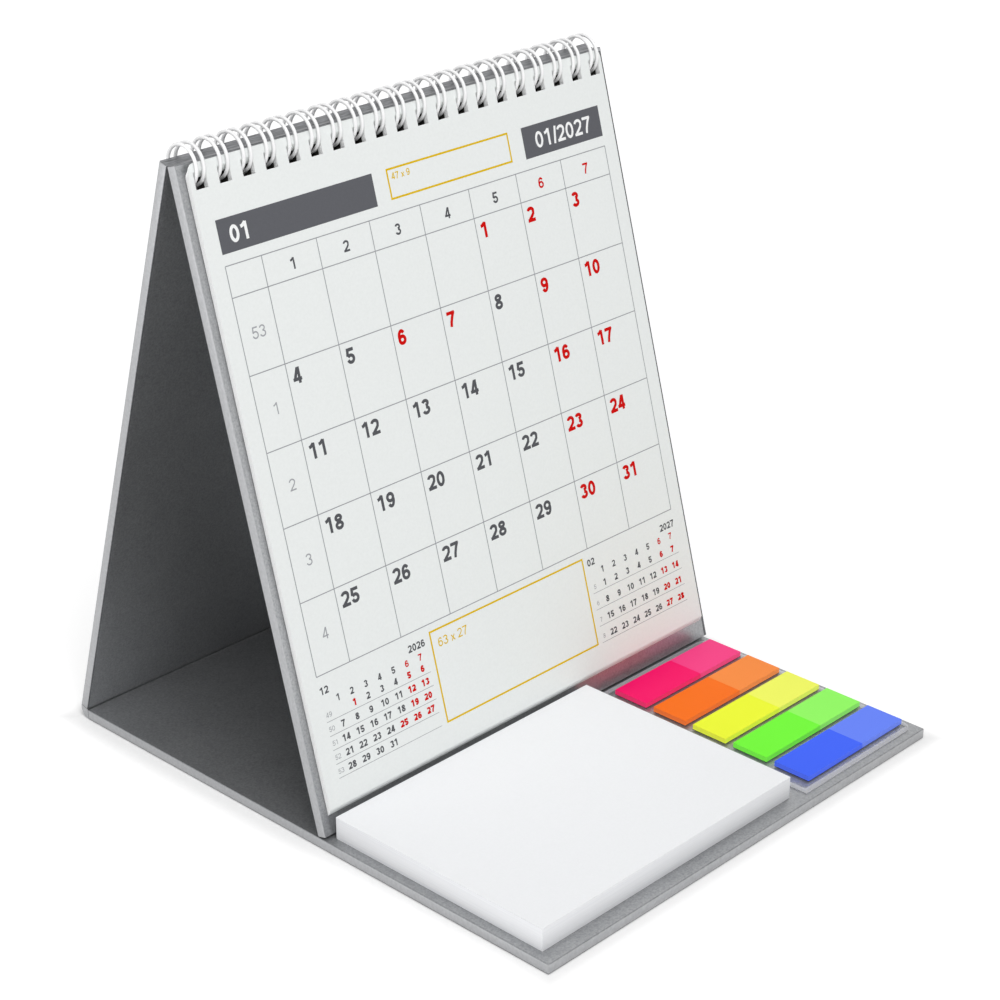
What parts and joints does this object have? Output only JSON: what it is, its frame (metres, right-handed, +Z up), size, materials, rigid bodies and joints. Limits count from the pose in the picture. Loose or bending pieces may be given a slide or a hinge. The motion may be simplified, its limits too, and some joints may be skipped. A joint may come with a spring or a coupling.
{
  "type": "desk calendar",
  "caption": "Easel desk calendar: wire-bound sheets over a folding board stand whose long foot holds a note pad and page flags.",
  "frame": {"origin": "on the table, in the middle of the stand's footprint", "axes": "+Z up, +X along the wire binding to the reader's right, -Y towards the reader"},
  "size_m": [0.16, 0.1864, 0.1845],
  "materials": {
    "silver_board_paper": "silver-grey paper wrapped round board, satin",
    "calendar_paper": "smooth white printing paper",
    "note_paper": "matte white writing paper",
    "white_wire": "white nylon-coated steel wire, satin",
    "clear_film": "clear glossy plastic film",
    "blue_flag_film": "coloured translucent film",
    "green_flag_film": "coloured translucent film",
    "yellow_flag_film": "coloured translucent film",
    "orange_flag_film": "coloured translucent film",
    "pink_flag_film": "coloured translucent film"
  },
  "bodies": {
    "base": {"base_board": "silver_board_paper", "rear_hinge": "silver_board_paper", "note_pad": "note_paper", "flag_carrier": "clear_film", "flag_stack_1": "blue_flag_film", "flag_stack_2": "green_flag_film", "flag_stack_3": "yellow_flag_film", "flag_stack_4": "orange_flag_film", "flag_stack_5": "pink_flag_film"},
    "back": {"back_board": "silver_board_paper", "spine_hinge": "silver_board_paper"},
    "front": {"front_board": "silver_board_paper", "wire_binding": "white_wire"},
    "top_note": {"top_note": "note_paper"},
    "sheet_01": {"sheet_01": "calendar_paper"},
    "sheet_02": {"sheet_02": "calendar_paper"},
    "sheet_03": {"sheet_03": "calendar_paper"},
    "sheet_04": {"sheet_04": "calendar_paper"},
    "sheet_05": {"sheet_05": "calendar_paper"},
    "sheet_06": {"sheet_06": "calendar_paper"},
    "sheet_07": {"sheet_07": "calendar_paper"},
    "sheet_08": {"sheet_08": "calendar_paper"},
    "sheet_09": {"sheet_09": "calendar_paper"},
    "sheet_10": {"sheet_10": "calendar_paper"},
    "sheet_11": {"sheet_11": "calendar_paper"},
    "sheet_12": {"sheet_12": "calendar_paper"},
    "flag_leaf_1": {"flag_leaf_1": "blue_flag_film"},
    "flag_leaf_2": {"flag_leaf_2": "green_flag_film"},
    "flag_leaf_3": {"flag_leaf_3": "yellow_flag_film"},
    "flag_leaf_4": {"flag_leaf_4": "orange_flag_film"},
    "flag_leaf_5": {"flag_leaf_5": "pink_flag_film"}
  },
  "joints": [
    {"name": "rear_fold", "type": "hinge", "parent": "base", "child": "back", "pos_m": [0, 0.0902, 0.003], "axis": [-1, 0, 0], "range_deg": [0, 105], "deforming": ["rear_hinge"]},
    {"name": "spine_fold", "type": "hinge", "parent": "back", "child": "front", "pos_m": [0, 0.03861, 0.1792], "axis": [1, 0, 0], "range_deg": [0, 28]},
    {"name": "sheet_01_turn", "type": "hinge", "parent": "front", "child": "sheet_01", "pos_m": [0, 0.03826, 0.1783], "axis": [-1, 0, 0], "range_deg": [0, 165]},
    {"name": "sheet_02_turn", "type": "hinge", "parent": "front", "child": "sheet_02", "pos_m": [0, 0.03826, 0.1783], "axis": [-1, 0, 0], "range_deg": [0, 162.54]},
    {"name": "sheet_03_turn", "type": "hinge", "parent": "front", "child": "sheet_03", "pos_m": [0, 0.03826, 0.1783], "axis": [-1, 0, 0], "range_deg": [0, 160.06]},
    {"name": "sheet_04_turn", "type": "hinge", "parent": "front", "child": "sheet_04", "pos_m": [0, 0.03826, 0.1783], "axis": [-1, 0, 0], "range_deg": [0, 157.59]},
    {"name": "sheet_05_turn", "type": "hinge", "parent": "front", "child": "sheet_05", "pos_m": [0, 0.03826, 0.1783], "axis": [-1, 0, 0], "range_deg": [0, 155.11]},
    {"name": "sheet_06_turn", "type": "hinge", "parent": "front", "child": "sheet_06", "pos_m": [0, 0.03826, 0.1783], "axis": [-1, 0, 0], "range_deg": [0, 152.64]},
    {"name": "sheet_07_turn", "type": "hinge", "parent": "front", "child": "sheet_07", "pos_m": [0, 0.03826, 0.1783], "axis": [-1, 0, 0], "range_deg": [0, 150.16]},
    {"name": "sheet_08_turn", "type": "hinge", "parent": "front", "child": "sheet_08", "pos_m": [0, 0.03826, 0.1783], "axis": [-1, 0, 0], "range_deg": [0, 147.69]},
    {"name": "sheet_09_turn", "type": "hinge", "parent": "front", "child": "sheet_09", "pos_m": [0, 0.03826, 0.1783], "axis": [-1, 0, 0], "range_deg": [0, 145.21]},
    {"name": "sheet_10_turn", "type": "hinge", "parent": "front", "child": "sheet_10", "pos_m": [0, 0.03826, 0.1783], "axis": [-1, 0, 0], "range_deg": [0, 142.74]},
    {"name": "sheet_11_turn", "type": "hinge", "parent": "front", "child": "sheet_11", "pos_m": [0, 0.03826, 0.1783], "axis": [-1, 0, 0], "range_deg": [0, 140.26]},
    {"name": "sheet_12_turn", "type": "hinge", "parent": "front", "child": "sheet_12", "pos_m": [0, 0.03826, 0.1783], "axis": [-1, 0, 0], "range_deg": [0, 137.79]},
    {"name": "note_peel", "type": "hinge", "parent": "base", "child": "top_note", "pos_m": [-0.0271, -0.0134, 0.00965], "axis": [-1, 0, 0], "range_deg": [0, 100]},
    {"name": "flag_peel_1", "type": "hinge", "parent": "base", "child": "flag_leaf_1", "pos_m": [0.077, -0.0813, 0.0049], "axis": [0, 1, 0], "range_deg": [0, 110]},
    {"name": "flag_peel_2", "type": "hinge", "parent": "base", "child": "flag_leaf_2", "pos_m": [0.077, -0.06645, 0.0049], "axis": [0, 1, 0], "range_deg": [0, 110]},
    {"name": "flag_peel_3", "type": "hinge", "parent": "base", "child": "flag_leaf_3", "pos_m": [0.077, -0.0516, 0.0049], "axis": [0, 1, 0], "range_deg": [0, 110]},
    {"name": "flag_peel_4", "type": "hinge", "parent": "base", "child": "flag_leaf_4", "pos_m": [0.077, -0.03675, 0.0049], "axis": [0, 1, 0], "range_deg": [0, 110]},
    {"name": "flag_peel_5", "type": "hinge", "parent": "base", "child": "flag_leaf_5", "pos_m": [0.077, -0.0219, 0.0049], "axis": [0, 1, 0], "range_deg": [0, 110]}
  ],
  "couplings": [
    {"joint": "spine_fold", "follows": "rear_fold", "ratio": 0.2666},
    {"joint": "sheet_02_turn", "follows": "sheet_01_turn", "ratio": 0.985},
    {"joint": "sheet_03_turn", "follows": "sheet_01_turn", "ratio": 0.97},
    {"joint": "sheet_04_turn", "follows": "sheet_01_turn", "ratio": 0.955},
    {"joint": "sheet_05_turn", "follows": "sheet_01_turn", "ratio": 0.94},
    {"joint": "sheet_06_turn", "follows": "sheet_01_turn", "ratio": 0.925},
    {"joint": "sheet_07_turn", "follows": "sheet_01_turn", "ratio": 0.91},
    {"joint": "sheet_08_turn", "follows": "sheet_01_turn", "ratio": 0.895},
    {"joint": "sheet_09_turn", "follows": "sheet_01_turn", "ratio": 0.88},
    {"joint": "sheet_10_turn", "follows": "sheet_01_turn", "ratio": 0.865},
    {"joint": "sheet_11_turn", "follows": "sheet_01_turn", "ratio": 0.85},
    {"joint": "sheet_12_turn", "follows": "sheet_01_turn", "ratio": 0.835}
  ]
}
